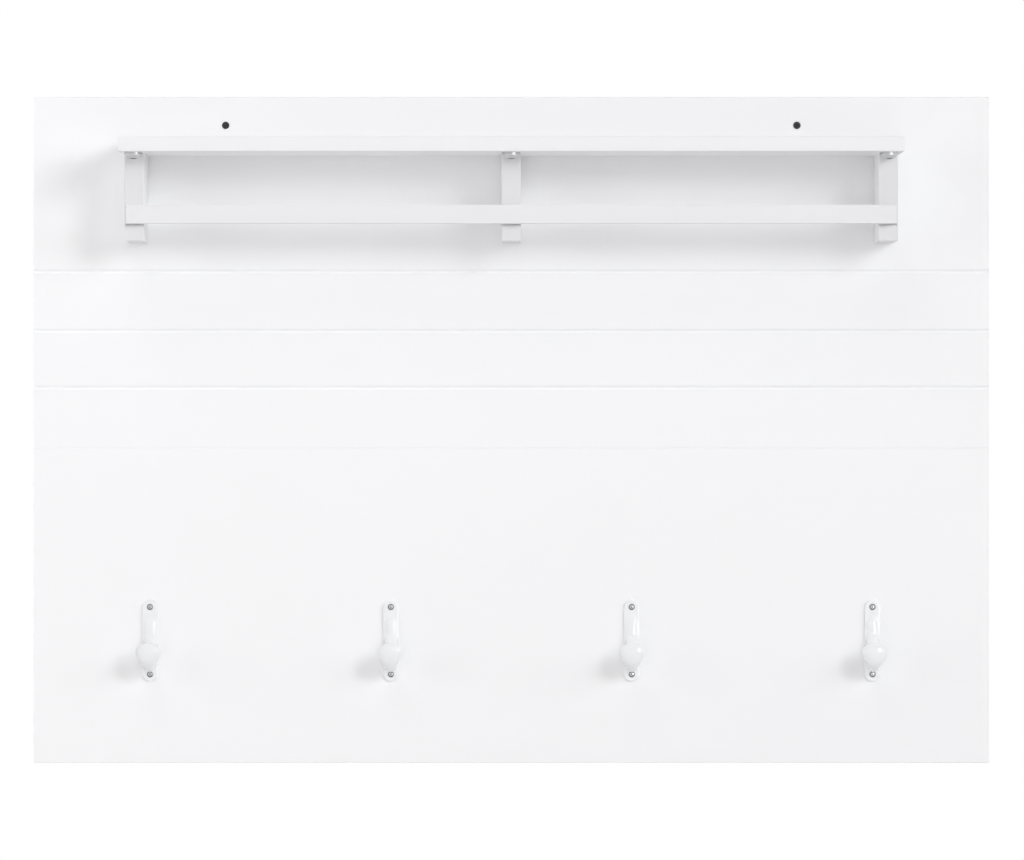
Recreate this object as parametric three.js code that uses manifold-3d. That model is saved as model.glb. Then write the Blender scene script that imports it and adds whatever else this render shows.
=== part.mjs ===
// Wall hook rack: a grooved panel in two boards, a shelf on three posts, a hanging rail and four coat hooks.
// Millimetres. X runs along the rack, +Y goes into the wall, +Z is up.
// The origin lies on the wall, midway between the two wall screws.

import * as THREE from 'three';
import { mergeVertices } from 'three/addons/utils/BufferGeometryUtils.js';
import Module from 'manifold-3d';

const wasm = await Module();
wasm.setup();

// Clearances
const screwGap = 0.3;          // round a screw in its hole, on the radius
const dowelGap = 0.2;          // round a dowel in its hole, on the radius
const plateGap = 0.3;          // round a fitting plate in its housing
const boreRun = 1.5;           // depth of a blind hole past the tip of what is in it

// Panel
const panelWidth = 1000;
const panelThickness = 12;
const upperBoardHeight = 367;
const lowerBoardHeight = 330;
const panelEase = 0.8;         // chamfer along the panel's top and bottom front edges
const upperSeamEase = 0.25;    // chamfer of the upper board where the boards meet
const lowerSeamEase = 0.9;     // chamfer of the lower board there
const grooveDrops = [182.6, 244.8, 304.2];   // V-grooves, below the panel's top edge
const grooveWidth = 4.6;
const grooveDepth = 2;

// Battens behind the panel
const battenWidth = 40;
const battenThickness = 12;
const battenEase = 1;
const battenInset = 12;        // ends, from the panel's top and bottom edges
const battenScrewDrop = 165;   // upper row of batten screws, below the panel's top edge
const battenScrewSeam = 27;    // middle rows, above and below the seam
const battenScrewFoot = 40;    // lowest row, above the panel's bottom edge

// Wall screws
const wallScrewDrop = 29.6;    // below the panel's top edge
const wallScrewInset = 201;    // from the panel's ends

// Shelf, posts and rail
const shelfTopDrop = 47;       // below the panel's top edge
const shelfThickness = 15;
const shelfEndOverhang = 4;    // past the outer posts
const shelfFrontOverhang = 40; // past the posts' fronts
const shelfCornerRadius = 3;
const shelfEase = 1;
const shelfScrewInsets = [53, 283];          // from each end of the shelf board
const postWidth = 20;
const postDepth = 70;
const postHeight = 91;
const postInset = 100;         // outer posts' outer faces, from the panel's ends
const postEase = 1;
const postScrewInset = 22;     // from the post's top and foot
const railHeight = 19.5;
const railThickness = 12;
const railDrop = 54;           // rail's top edge, below the shelf board
const railEndInset = 2;        // rail's ends, inside the outer posts' outer faces
const railEase = 1;
const dowelDiameter = 6;
const dowelLength = 20;
const dowelRailDepth = 8;      // length of the dowel that sits in the rail

// Fitting plate that ties each post to the shelf board
const plateWidth = 16;
const plateThickness = 2;
const plateRun = 32;           // length let into the post's top
const plateTongue = 14;        // tongue's screw, in front of the post
const plateEye = 19;           // diameter of the tongue's round end
const plateScrewRun = 20;      // post's screw, behind the post's front

// Coat hooks
const hookCount = 4;
const hookInset = 122;         // outer hooks' middles, from the panel's ends
const hookDrop = 568.9;        // hook's middle, below the panel's top edge
const hookScrewSpacing = 70.4;
const hookPlateWidth = 16;
const hookPlateHeight = 85;
const hookPlateThickness = 3;
const hookPlateEase = 0.8;
const armRoot = 0.6;           // arm's middle line from the panel, along the plate
const armTop = 29;             // arm's upper end on the plate, above the hook's middle
const armLeave = 8;            // where the arm leaves the plate, above the hook's middle
const armThroat = 9.5;         // arm's middle line from the panel, behind the cradle
const armBottom = 28.7;        // lowest point of the arm's middle line, below the hook's middle
const armReach = 35.5;         // tip's middle line from the panel
const armTipDrop = 1.2;        // tip's end, below the hook's middle
const strapWidth = 14.5;       // arm along the plate
const strapThickness = 8.8;
const strapFade = 12;          // length over which the strap rises out of the plate
const neckWidth = 10;          // arm in the cradle
const neckThickness = 6.5;
const neckRun = 26;            // length over which the strap narrows to the neck
const tipWidth = 25.8;
const tipThickness = 9.8;
const tipRun = 9.5;            // length of the tip's round end
const tipLean = 1;             // how far the tip leans out past the cradle
const flareRun = 31;           // where the arm starts to widen, before the tip's end
const armSides = 16;
const armRings = 22;

// Screws: diameters of shank and head, length below the face that the head sits in or on, height of the
// head above that face, and span of the cross recess. A flat head sits on its face, the others in a
// countersink.
const screwKinds = {
  wall: { shank: 5, head: 7.6, length: 50, crown: 0, slot: 4.6, segments: 14, finish: 'black' },
  batten: { shank: 3.5, head: 7, length: 20, crown: 0, slot: 3.8, segments: 10, finish: 'zinc' },
  post: { shank: 4, head: 8, length: 40, crown: 0, slot: 4.2, segments: 10, finish: 'zinc' },
  centrePost: { shank: 4, head: 8, length: 50, crown: 0, slot: 4.2, segments: 10, finish: 'zinc' },
  shelf: { shank: 4, head: 8, length: 45, crown: 0, slot: 4.2, segments: 10, finish: 'zinc' },
  plate: { shank: 3, head: 5.6, length: 18, crown: 0, slot: 3, segments: 10, finish: 'zinc' },
  tongue: { shank: 4, head: 17, length: 13, crown: 5, slot: 5, segments: 18, finish: 'zinc', flat: true },
  hook: { shank: 3.5, head: 6.2, length: 13, crown: 0.9, slot: 3.4, segments: 12, finish: 'zinc' },
};
const slotWidth = 1;
const slotDepth = 1.6;
const headRim = 0.3;           // height of the straight rim of a countersunk head

// Places worked out from the sizes above
const topEdge = wallScrewDrop;
const seam = topEdge - upperBoardHeight;
const bottomEdge = seam - lowerBoardHeight;
const panelBack = -battenThickness;
const panelFront = panelBack - panelThickness;
const wallScrewPlace = panelWidth / 2 - wallScrewInset;
const shelfTop = topEdge - shelfTopDrop;
const shelfUnderside = shelfTop - shelfThickness;
const shelfDepth = postDepth + shelfFrontOverhang;
const postPlace = panelWidth / 2 - postInset - postWidth / 2;
const postFront = panelFront - postDepth;
const postFoot = shelfUnderside - postHeight;
const shelfEnd = postPlace + postWidth / 2 + shelfEndOverhang;
const railEnd = postPlace + postWidth / 2 - railEndInset;
const railTop = shelfUnderside - railDrop;
const railMiddle = railTop - railHeight / 2;
const railFront = postFront - railThickness;
const hookMiddle = topEdge - hookDrop;
const hookPitch = (panelWidth - 2 * hookInset) / (hookCount - 1);
const columns = [['left', -1], ['centre', 0], ['right', 1]];

const finishes = {
  lacquer: { color: 0xf3f3f5, roughness: 0.42, metalness: 0 },
  enamel: { color: 0xeef0f3, roughness: 0.16, metalness: 0 },
  pine: { color: 0xd9bd8d, roughness: 0.75, metalness: 0 },
  beech: { color: 0xcda877, roughness: 0.7, metalness: 0 },
  zinc: { color: 0xb9bcc1, roughness: 0.3, metalness: 1 },
  black: { color: 0x2b2927, roughness: 0.45, metalness: 0.6 },
};

const rack = new THREE.Group();
const fasteners = [];

// Solids

function toSolid(geometry) {
  const bare = geometry.index ? geometry.toNonIndexed() : geometry.clone();
  bare.deleteAttribute('normal');
  bare.deleteAttribute('uv');
  const merged = mergeVertices(bare, 1e-4);
  return new wasm.Manifold(new wasm.Mesh({
    numProp: 3,
    vertProperties: new Float32Array(merged.attributes.position.array),
    triVerts: new Uint32Array(merged.index.array),
  }));
}

function toGeometry(solid) {
  const mesh = solid.getMesh();
  const geometry = new THREE.BufferGeometry();
  geometry.setAttribute('position', new THREE.BufferAttribute(mesh.vertProperties, 3));
  geometry.setIndex(new THREE.BufferAttribute(mesh.triVerts, 1));
  geometry.computeVertexNormals();
  return geometry;
}

function cut(geometry, cutters) {
  return toGeometry(cutters.reduce((rest, cutter) => rest.subtract(toSolid(cutter)), toSolid(geometry)));
}

// Turns a geometry drawn along +Z toward a direction and moves it to a point.
function aim(geometry, at, toward) {
  const turn = new THREE.Quaternion().setFromUnitVectors(new THREE.Vector3(0, 0, 1), toward);
  return geometry.applyQuaternion(turn).translate(at.x, at.y, at.z);
}

// Adds a piece to the rack, with a hole for each fastener that goes into it.
function addPiece(name, finish, geometry, position) {
  const holes = fasteners
    .filter((fastener) => fastener.into.includes(name))
    .map((fastener) => aim(fastener.hole(), fastener.at, fastener.toward)
      .translate(-position.x, -position.y, -position.z));
  const drilled = holes.length ? cut(geometry, holes) : geometry;
  const mesh = new THREE.Mesh(drilled, new THREE.MeshStandardMaterial(finishes[finish]));
  mesh.name = name;
  mesh.position.copy(position);
  rack.add(mesh);
}

// A shape drawn as (Y, Z), extruded along X and centred on X = 0.
function extrudeAlongX(shape, length) {
  const geometry = new THREE.ExtrudeGeometry(shape, { depth: length, bevelEnabled: false });
  geometry.translate(0, 0, -length / 2);
  return geometry.applyMatrix4(new THREE.Matrix4().set(0, 0, 1, 0, 1, 0, 0, 0, 0, 1, 0, 0, 0, 0, 0, 1));
}

// A rectangle with its four corners cut off.
function easedRectangle(width, height, ease) {
  const [u, v] = [width / 2, height / 2];
  return new THREE.Shape([
    new THREE.Vector2(-u + ease, -v),
    new THREE.Vector2(u - ease, -v),
    new THREE.Vector2(u, -v + ease),
    new THREE.Vector2(u, v - ease),
    new THREE.Vector2(u - ease, v),
    new THREE.Vector2(-u + ease, v),
    new THREE.Vector2(-u, v - ease),
    new THREE.Vector2(-u, -v + ease),
  ]);
}

// An upright bar centred on its position, chamfered along its length.
function uprightBar(width, depth, height, ease) {
  const shape = easedRectangle(width, depth, ease);
  const geometry = new THREE.ExtrudeGeometry(shape, { depth: height, bevelEnabled: false });
  return geometry.translate(0, 0, -height / 2);
}

// Fasteners

// Half outline of a screw, from the top of its head to its tip; its outer face is at 0.
function screwOutline(kind) {
  const shank = kind.shank / 2;
  const head = kind.head / 2;
  const top = [[0, -kind.crown]];
  if (kind.crown > 0) top.push([0.5 * head, -0.88 * kind.crown], [0.85 * head, -0.45 * kind.crown]);
  const underside = kind.flat
    ? [[head, -0.1 * kind.crown], [head, 0], [shank, 0]]
    : [[head, 0], [head, headRim], [shank, headRim + head - shank]];
  const end = [[shank, kind.length - kind.shank], [0, kind.length]];
  return [...top, ...underside, ...end].map(([radius, along]) => new THREE.Vector2(radius, along));
}

function lathe(points, segments) {
  return new THREE.LatheGeometry(points, segments).rotateX(Math.PI / 2);
}

function screwGeometry(kind) {
  const slots = [[kind.slot, slotWidth], [slotWidth, kind.slot]].map(([width, height]) =>
    new THREE.BoxGeometry(width, height, 2 * slotDepth).translate(0, 0, -kind.crown));
  return cut(lathe(screwOutline(kind), kind.segments), slots);
}

function screwHole(kind) {
  const bore = kind.shank / 2 + screwGap;
  const mouth = kind.flat ? bore : kind.head / 2 + screwGap;
  const depth = kind.length + boreRun;
  const points = [
    [0, -1], [mouth, -1], [mouth, headRim],
    [bore, headRim + mouth - bore], [bore, depth], [0, depth],
  ];
  return lathe(points.map(([radius, along]) => new THREE.Vector2(radius, along)), kind.segments);
}

function addScrew(name, kindName, at, toward, into) {
  const kind = screwKinds[kindName];
  fasteners.push({
    name, at, toward, into,
    finish: kind.finish,
    body: () => screwGeometry(kind),
    hole: () => screwHole(kind),
  });
}

function addDowel(name, at, toward, into) {
  const rod = (radius, length) => new THREE.CylinderGeometry(radius, radius, length, 12).rotateX(Math.PI / 2);
  fasteners.push({
    name, at, toward, into,
    finish: 'beech',
    body: () => rod(dowelDiameter / 2, dowelLength),
    hole: () => rod(dowelDiameter / 2 + dowelGap, dowelLength + 2 * dowelGap),
  });
}

const intoWall = new THREE.Vector3(0, 1, 0);
const outOfWall = new THREE.Vector3(0, -1, 0);
const up = new THREE.Vector3(0, 0, 1);
const down = new THREE.Vector3(0, 0, -1);

function placeWallScrews() {
  for (const [side, sign] of columns.filter(([, sign]) => sign !== 0)) {
    const at = new THREE.Vector3(sign * wallScrewPlace, panelFront, 0);
    addScrew(`wall_screw_${side}`, 'wall', at, intoWall, ['upper_board', `batten_${side}`]);
  }
}

function placeBattenScrews() {
  const rows = [
    ['upper_board', topEdge - battenScrewDrop],
    ['upper_board', seam + battenScrewSeam],
    ['lower_board', seam - battenScrewSeam],
    ['lower_board', bottomEdge + battenScrewFoot],
  ];
  for (const [side, sign] of columns) {
    rows.forEach(([board, z], row) => {
      const at = new THREE.Vector3(sign * wallScrewPlace, 0, z);
      addScrew(`batten_screw_${side}_${row + 1}`, 'batten', at, outOfWall, [`batten_${side}`, board]);
    });
  }
}

function placePostScrews() {
  const rows = [['upper', shelfUnderside - postScrewInset], ['lower', postFoot + postScrewInset]];
  for (const [side, sign] of columns) {
    const kind = sign === 0 ? 'centrePost' : 'post';
    const back = sign === 0 ? 0 : panelBack;
    const into = [`post_${side}`, 'upper_board', ...(sign === 0 ? ['batten_centre'] : [])];
    for (const [row, z] of rows) {
      const at = new THREE.Vector3(sign * postPlace, back, z);
      addScrew(`post_screw_${side}_${row}`, kind, at, outOfWall, into);
    }
  }
}

function placeShelfScrews() {
  const places = shelfScrewInsets.map((inset) => shelfEnd - inset).flatMap((x) => [-x, x]);
  places.sort((a, b) => a - b).forEach((x, index) => {
    const at = new THREE.Vector3(x, panelBack, shelfTop - shelfThickness / 2);
    addScrew(`shelf_screw_${index + 1}`, 'shelf', at, outOfWall, ['upper_board', 'shelf_board']);
  });
}

function placeRailDowels() {
  for (const [side, sign] of columns) {
    const at = new THREE.Vector3(sign * postPlace, postFront - dowelRailDepth + dowelLength / 2, railMiddle);
    addDowel(`rail_dowel_${side}`, at, intoWall, ['hanging_rail', `post_${side}`]);
  }
}

function placeFittingScrews() {
  for (const [side, sign] of columns) {
    const x = sign * postPlace;
    const overPost = new THREE.Vector3(x, postFront + plateScrewRun, shelfUnderside);
    const onTongue = new THREE.Vector3(x, postFront - plateTongue, shelfUnderside - plateThickness);
    addScrew(`plate_screw_${side}`, 'plate', overPost, down, [`top_plate_${side}`, `post_${side}`]);
    addScrew(`tongue_screw_${side}`, 'tongue', onTongue, up, [`top_plate_${side}`, 'shelf_board']);
  }
}

function hookPlaces() {
  return Array.from({ length: hookCount }, (_, index) => (index - (hookCount - 1) / 2) * hookPitch);
}

function placeHookScrews() {
  hookPlaces().forEach((x, index) => {
    for (const [row, sign] of [['upper', 1], ['lower', -1]]) {
      const z = hookMiddle + sign * hookScrewSpacing / 2;
      const at = new THREE.Vector3(x, panelFront - hookPlateThickness, z);
      addScrew(`hook_screw_${index + 1}_${row}`, 'hook', at, intoWall, [`hook_${index + 1}`, 'lower_board']);
    }
  });
}

// Panel

// Section of a board of the panel: Y is 0 at its back and Z is 0 at its foot.
function boardSection(height, footEase, topEase, grooves) {
  const front = -panelThickness;
  const points = [
    [front + footEase, 0], [0, 0], [0, height],
    [front + topEase, height], [front, height - topEase],
  ];
  for (const middle of grooves) {
    const halfGroove = grooveWidth / 2;
    points.push([front, middle + halfGroove], [front + grooveDepth, middle], [front, middle - halfGroove]);
  }
  points.push([front, footEase]);
  return new THREE.Shape(points.map(([y, z]) => new THREE.Vector2(y, z)));
}

function addPanel() {
  const grooves = grooveDrops.map((drop) => upperBoardHeight - drop);
  const upper = boardSection(upperBoardHeight, upperSeamEase, panelEase, grooves);
  const lower = boardSection(lowerBoardHeight, panelEase, lowerSeamEase, []);
  addPiece('upper_board', 'lacquer', extrudeAlongX(upper, panelWidth), new THREE.Vector3(0, panelBack, seam));
  const lowerPlace = new THREE.Vector3(0, panelBack, bottomEdge);
  addPiece('lower_board', 'lacquer', extrudeAlongX(lower, panelWidth), lowerPlace);
}

function addBattens() {
  const height = topEdge - bottomEdge - 2 * battenInset;
  const middle = (topEdge + bottomEdge) / 2;
  for (const [side, sign] of columns) {
    const bar = uprightBar(battenWidth, battenThickness, height, battenEase);
    const position = new THREE.Vector3(sign * wallScrewPlace, -battenThickness / 2, middle);
    addPiece(`batten_${side}`, 'pine', bar, position);
  }
}

// Shelf, posts and rail

function addShelfBoard() {
  const radius = shelfCornerRadius;
  const outline = new THREE.Shape();
  outline.moveTo(-shelfEnd, 0);
  outline.lineTo(-shelfEnd, radius - shelfDepth);
  outline.absarc(radius - shelfEnd, radius - shelfDepth, radius, Math.PI, 1.5 * Math.PI, false);
  outline.absarc(shelfEnd - radius, radius - shelfDepth, radius, 1.5 * Math.PI, 2 * Math.PI, false);
  outline.lineTo(shelfEnd, 0);
  const board = new THREE.ExtrudeGeometry(outline, {
    depth: shelfThickness - 2 * shelfEase,
    curveSegments: 4,
    bevelThickness: shelfEase,
    bevelSize: shelfEase,
    bevelOffset: -shelfEase,
    bevelSegments: 1,
  });
  board.translate(0, 0, shelfEase);
  addPiece('shelf_board', 'lacquer', board, new THREE.Vector3(0, panelFront, shelfUnderside));
}

function addPosts() {
  const housingWidth = plateWidth + 2 * plateGap;
  const housing = new THREE.BoxGeometry(housingWidth, 2 * (plateRun + plateGap), 2 * plateThickness);
  housing.translate(0, -postDepth / 2, postHeight / 2);
  for (const [side, sign] of columns) {
    const post = cut(uprightBar(postWidth, postDepth, postHeight, postEase), [housing]);
    const middleHeight = postFoot + postHeight / 2;
    const position = new THREE.Vector3(sign * postPlace, panelFront - postDepth / 2, middleHeight);
    addPiece(`post_${side}`, 'lacquer', post, position);
  }
}

function addRail() {
  const shape = easedRectangle(railThickness, railHeight, railEase);
  const bar = extrudeAlongX(shape, 2 * railEnd);
  addPiece('hanging_rail', 'lacquer', bar, new THREE.Vector3(0, postFront - railThickness / 2, railMiddle));
}

// A flat plate whose tongue runs out under the shelf board and ends in a round eye.
function addTopPlates() {
  const side = plateWidth / 2;
  const spread = Math.acos(plateWidth / plateEye);
  const outline = new THREE.Shape();
  outline.moveTo(side, plateRun);
  outline.lineTo(-side, plateRun);
  outline.absarc(0, -plateTongue, plateEye / 2, Math.PI - spread, 2 * Math.PI + spread, false);
  for (const [column, sign] of columns) {
    const settings = { depth: plateThickness, curveSegments: 20, bevelEnabled: false };
    const plate = new THREE.ExtrudeGeometry(outline, settings);
    const position = new THREE.Vector3(sign * postPlace, postFront, shelfUnderside - plateThickness);
    addPiece(`top_plate_${column}`, 'zinc', plate, position);
  }
}

// Coat hooks, drawn with their back on Y = 0 and their middle on Z = 0

function hookPlate() {
  const radius = hookPlateWidth / 2;
  const reach = hookPlateHeight / 2 - radius;
  const outline = new THREE.Shape();
  outline.absarc(0, reach, radius, 0, Math.PI, false);
  outline.absarc(0, -reach, radius, Math.PI, 2 * Math.PI, false);
  const plate = new THREE.ExtrudeGeometry(outline, {
    depth: hookPlateThickness,
    curveSegments: 7,
    bevelThickness: hookPlateEase,
    bevelSize: hookPlateEase,
    bevelOffset: -hookPlateEase,
    bevelSegments: 1,
  });
  return plate.translate(0, 0, -hookPlateEase).rotateX(Math.PI / 2);
}

// Middle line of the arm: down the plate, off it in an S, a round cradle and a tip that leans outward.
function armPath() {
  const radius = (armReach - armThroat) / 2;
  const centreOut = (armReach + armThroat) / 2;
  const centreUp = radius - armBottom;
  const descent = new THREE.CubicBezierCurve(
    new THREE.Vector2(armRoot, armLeave),
    new THREE.Vector2(armRoot, 0),
    new THREE.Vector2(armThroat, 0),
    new THREE.Vector2(armThroat, centreUp),
  );
  const strap = [new THREE.Vector2(armRoot, armTop), new THREE.Vector2(armRoot, (armTop + armLeave) / 2)];
  const cradle = [1.25, 1.5, 1.75, 1.93].map((turn) => new THREE.Vector2(
    centreOut + radius * Math.cos(turn * Math.PI),
    centreUp + radius * Math.sin(turn * Math.PI),
  ));
  const tip = new THREE.Vector2(armReach + tipLean, -armTipDrop);
  const line = [...strap, ...descent.getPoints(5), ...cradle, tip];
  return new THREE.CatmullRomCurve3(line.map((point) => new THREE.Vector3(0, -point.x, point.y)));
}

// A round end: how much of the full size is left this close to it.
function nose(left, run) {
  return left < run ? Math.sqrt(1 - (1 - left / run) ** 2) : 1;
}

function hookArm() {
  const path = armPath();
  const length = path.getLength();
  const arm = new THREE.CylinderGeometry(1, 1, 1, armSides, armRings);
  const places = arm.attributes.position;
  const across = new THREE.Vector3(1, 0, 0);
  for (let index = 0; index < places.count; index += 1) {
    const along = Math.sin((0.5 - places.getY(index)) * Math.PI / 2);
    const gone = along * length;
    const left = length - gone + 0.05;
    const fade = 0.5 + 0.5 * THREE.MathUtils.smoothstep(gone, 0, strapFade);
    const neck = THREE.MathUtils.smoothstep(gone, armTop - armLeave, armTop - armLeave + neckRun);
    const flare = 1 - THREE.MathUtils.smoothstep(left, tipRun, flareRun);
    const end = nose(left, tipRun);
    const width = THREE.MathUtils.lerp(strapWidth, neckWidth, neck);
    const thickness = THREE.MathUtils.lerp(fade * strapThickness, neckThickness, neck);
    const halfWidth = end * THREE.MathUtils.lerp(width, tipWidth, flare) / 2;
    const halfThickness = end * THREE.MathUtils.lerp(thickness, tipThickness, flare) / 2;
    const outward = path.getTangentAt(along).cross(across);
    const point = path.getPointAt(along);
    point.addScaledVector(across, places.getX(index) * halfWidth);
    point.addScaledVector(outward, places.getZ(index) * halfThickness);
    places.setXYZ(index, point.x, point.y, point.z);
  }
  return arm;
}

function addHooks() {
  const wallSide = new THREE.BoxGeometry(tipWidth * 2, tipWidth * 2, hookPlateHeight * 2);
  wallSide.translate(0, tipWidth, 0);
  const casting = toSolid(hookPlate()).add(toSolid(hookArm())).subtract(toSolid(wallSide));
  hookPlaces().forEach((x, index) => {
    const position = new THREE.Vector3(x, panelFront, hookMiddle);
    addPiece(`hook_${index + 1}`, 'enamel', toGeometry(casting), position);
  });
}

function addFasteners() {
  for (const { name, finish, body, at, toward } of fasteners) {
    const mesh = new THREE.Mesh(body(), new THREE.MeshStandardMaterial(finishes[finish]));
    mesh.name = name;
    mesh.position.copy(at);
    mesh.quaternion.setFromUnitVectors(new THREE.Vector3(0, 0, 1), toward);
    rack.add(mesh);
  }
}

placeWallScrews();
placeBattenScrews();
placePostScrews();
placeShelfScrews();
placeRailDowels();
placeFittingScrews();
placeHookScrews();

addPanel();
addBattens();
addShelfBoard();
addPosts();
addRail();
addTopPlates();
addHooks();
addFasteners();

export default rack;
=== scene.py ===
import math

import bmesh
import bpy
from mathutils import Matrix, Vector
from mathutils.geometry import interpolate_bezier


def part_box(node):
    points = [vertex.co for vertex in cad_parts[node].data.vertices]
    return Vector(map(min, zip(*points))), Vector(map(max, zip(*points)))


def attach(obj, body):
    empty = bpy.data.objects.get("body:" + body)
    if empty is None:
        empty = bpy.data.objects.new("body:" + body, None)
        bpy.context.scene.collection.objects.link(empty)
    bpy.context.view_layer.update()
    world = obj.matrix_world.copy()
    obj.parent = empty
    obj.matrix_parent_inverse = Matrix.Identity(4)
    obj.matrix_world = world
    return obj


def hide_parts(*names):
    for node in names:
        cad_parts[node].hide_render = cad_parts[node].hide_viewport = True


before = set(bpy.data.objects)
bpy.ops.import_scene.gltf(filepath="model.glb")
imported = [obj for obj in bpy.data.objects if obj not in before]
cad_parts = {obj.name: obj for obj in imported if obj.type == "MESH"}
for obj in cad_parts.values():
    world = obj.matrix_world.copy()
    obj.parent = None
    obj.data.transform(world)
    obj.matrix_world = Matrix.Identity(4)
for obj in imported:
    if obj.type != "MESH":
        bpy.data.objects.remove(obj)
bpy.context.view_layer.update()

# Shapes are drawn in millimetres where the frame has them, and turned to metres when they are finished.
perMetre = 1000.0
axisX = Vector((1, 0, 0))
axisY = Vector((0, 1, 0))
axisZ = Vector((0, 0, 1))


def cornersOf(node):
    low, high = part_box(node)
    return Vector(low) * perMetre, Vector(high) * perMetre


def nodesNamed(start):
    return sorted(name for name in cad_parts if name.startswith(start))


panelFront = cornersOf("upper_board")[0].y
panelTop = cornersOf("upper_board")[1].z
panelFoot = cornersOf("lower_board")[0].z
panelMiddle = Vector((0, panelFront, (panelTop + panelFoot) / 2))
print("frame:", len(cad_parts), "nodes")

# Camera, lamps and background

view = {
    "distance": 5700,      # from the panel's face, straight in front of its middle
    "field": 1072,         # width seen at the panel's face
    "aside": 0.8,          # to the right of the panel's middle
    "sensor": 36,
    "clipEnd": 100,        # metres
}

lamps = {                  # turn to the right and rise above the horizon in degrees, sizes in millimetres
    "key": {"turn": 34, "rise": 18, "away": 6500, "wide": 1950, "high": 1950, "power": 111},
    "right": {"turn": 60, "rise": 15, "away": 6000, "wide": 2600, "high": 2600, "power": 70},
    "front": {"turn": 0, "rise": 5, "away": 5500, "wide": 3000, "high": 3000, "power": 44},
    "left": {"turn": -65, "rise": 8, "away": 4000, "wide": 2400, "high": 2400, "power": 39},
    "top": {"turn": -25, "rise": 55, "away": 4200, "wide": 2400, "high": 1700, "power": 24},
    "rear": {"turn": 205, "rise": 30, "away": 3400, "wide": 1600, "high": 1600, "power": 45},
    "softbox": {"turn": 34, "rise": -0.5, "away": 2000, "wide": 450, "high": 730, "power": 6.6},
}

lampColours = {"key": "#FDFFFF", "right": "#FDFFFF"}
shinyLamps = ("softbox", "rear")     # the others only fill, and don't show in the gloss
glossOnly = ("softbox",)             # close by, so it shows in the gloss and lights nothing else

studio = {
    "ambient": (0.18, 0.166, 0.166, 1),   # light from all round
    "background": 1.0,     # what the camera and reflections see
    "floorBelow": 900,     # from the panel's foot
    "floorWidth": 16000,
    "floorFade": (1500, 5200),   # from the plain floor to the white round it
    "floorColour": "#F4F4F4",
}


def hexColour(text):
    channels = [int(text[i:i + 2], 16) / 255 for i in (1, 3, 5)]
    linear = [c / 12.92 if c <= 0.04045 else ((c + 0.055) / 1.055) ** 2.4 for c in channels]
    return (*linear, 1.0)


def setInputs(tree, node, inputs):
    # An input, by name or in order, is a value, a hex colour, an output, or a node for its first output
    for name, value in inputs.items() if isinstance(inputs, dict) else enumerate(inputs):
        socket = node.inputs[name] if isinstance(name, int) else next(
            s for s in node.inputs if s.name == name and s.enabled)
        if isinstance(value, bpy.types.Node):
            value = next(s for s in value.outputs if s.enabled)
        if isinstance(value, bpy.types.NodeSocket):
            tree.links.new(value, socket)
        else:
            socket.default_value = hexColour(value) if isinstance(value, str) else value


def addNode(tree, kind, inputs=(), stops=(), **settings):
    node = tree.nodes.new("ShaderNode" + kind)
    for name, value in settings.items():
        setattr(node, name, value)
    setInputs(tree, node, inputs)
    if stops:
        ramp = node.color_ramp.elements
        while len(ramp) < len(stops):
            ramp.new(1.0)
        for element, (place, tone) in zip(ramp, stops):
            element.position = place
            element.color = (tone, tone, tone, 1)
    return node


def addCamera():
    data = bpy.data.cameras.new("camera")
    data.sensor_width = view["sensor"]
    data.lens = view["sensor"] * view["distance"] / view["field"]
    data.clip_end = view["clipEnd"]
    camera = bpy.data.objects.new("camera", data)
    place = panelMiddle + Vector((view["aside"], -view["distance"], 0))
    camera.location = place / perMetre
    camera.rotation_euler = (math.pi / 2, 0, 0)
    bpy.context.collection.objects.link(camera)
    bpy.context.scene.camera = camera


def addLamps():
    for name, lamp in lamps.items():
        data = bpy.data.lights.new(name, "AREA")
        data.shape = "RECTANGLE"
        data.size = lamp["wide"] / perMetre
        data.size_y = lamp["high"] / perMetre
        data.energy = lamp["power"]
        data.color = hexColour(lampColours.get(name, "#FFFFFF"))[:3]
        turn = math.radians(lamp["turn"])
        rise = math.radians(lamp["rise"])
        toward = Vector((math.sin(turn) * math.cos(rise), -math.cos(turn) * math.cos(rise), math.sin(rise)))
        light = bpy.data.objects.new(name, data)
        light.location = (panelMiddle + toward * lamp["away"]) / perMetre
        light.rotation_euler = toward.to_track_quat("Z", "Y").to_euler()
        light.visible_camera = False
        light.visible_glossy = name in shinyLamps
        light.visible_diffuse = name not in glossOnly
        bpy.context.collection.objects.link(light)


def whiteToTheEye(tree):
    # 1 for the rays that look at the background, straight or by reflection
    rays = addNode(tree, "LightPath").outputs
    seen = addNode(tree, "Math", [rays["Is Camera Ray"], rays["Is Glossy Ray"]], operation="MAXIMUM")
    return addNode(tree, "Math", [seen, rays["Is Transmission Ray"]], operation="MAXIMUM")


def addBackground():
    world = bpy.data.worlds.new("studio")
    bpy.context.scene.world = world
    world.use_nodes = True
    tree = world.node_tree
    tree.nodes.clear()
    colour = addNode(tree, "Mix", {
        "Factor": whiteToTheEye(tree), "A": studio["ambient"], "B": "#FFFFFF"}, data_type="RGBA")
    shader = addNode(tree, "Background", {"Color": colour, "Strength": studio["background"]})
    addNode(tree, "OutputWorld", {"Surface": shader})


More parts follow.
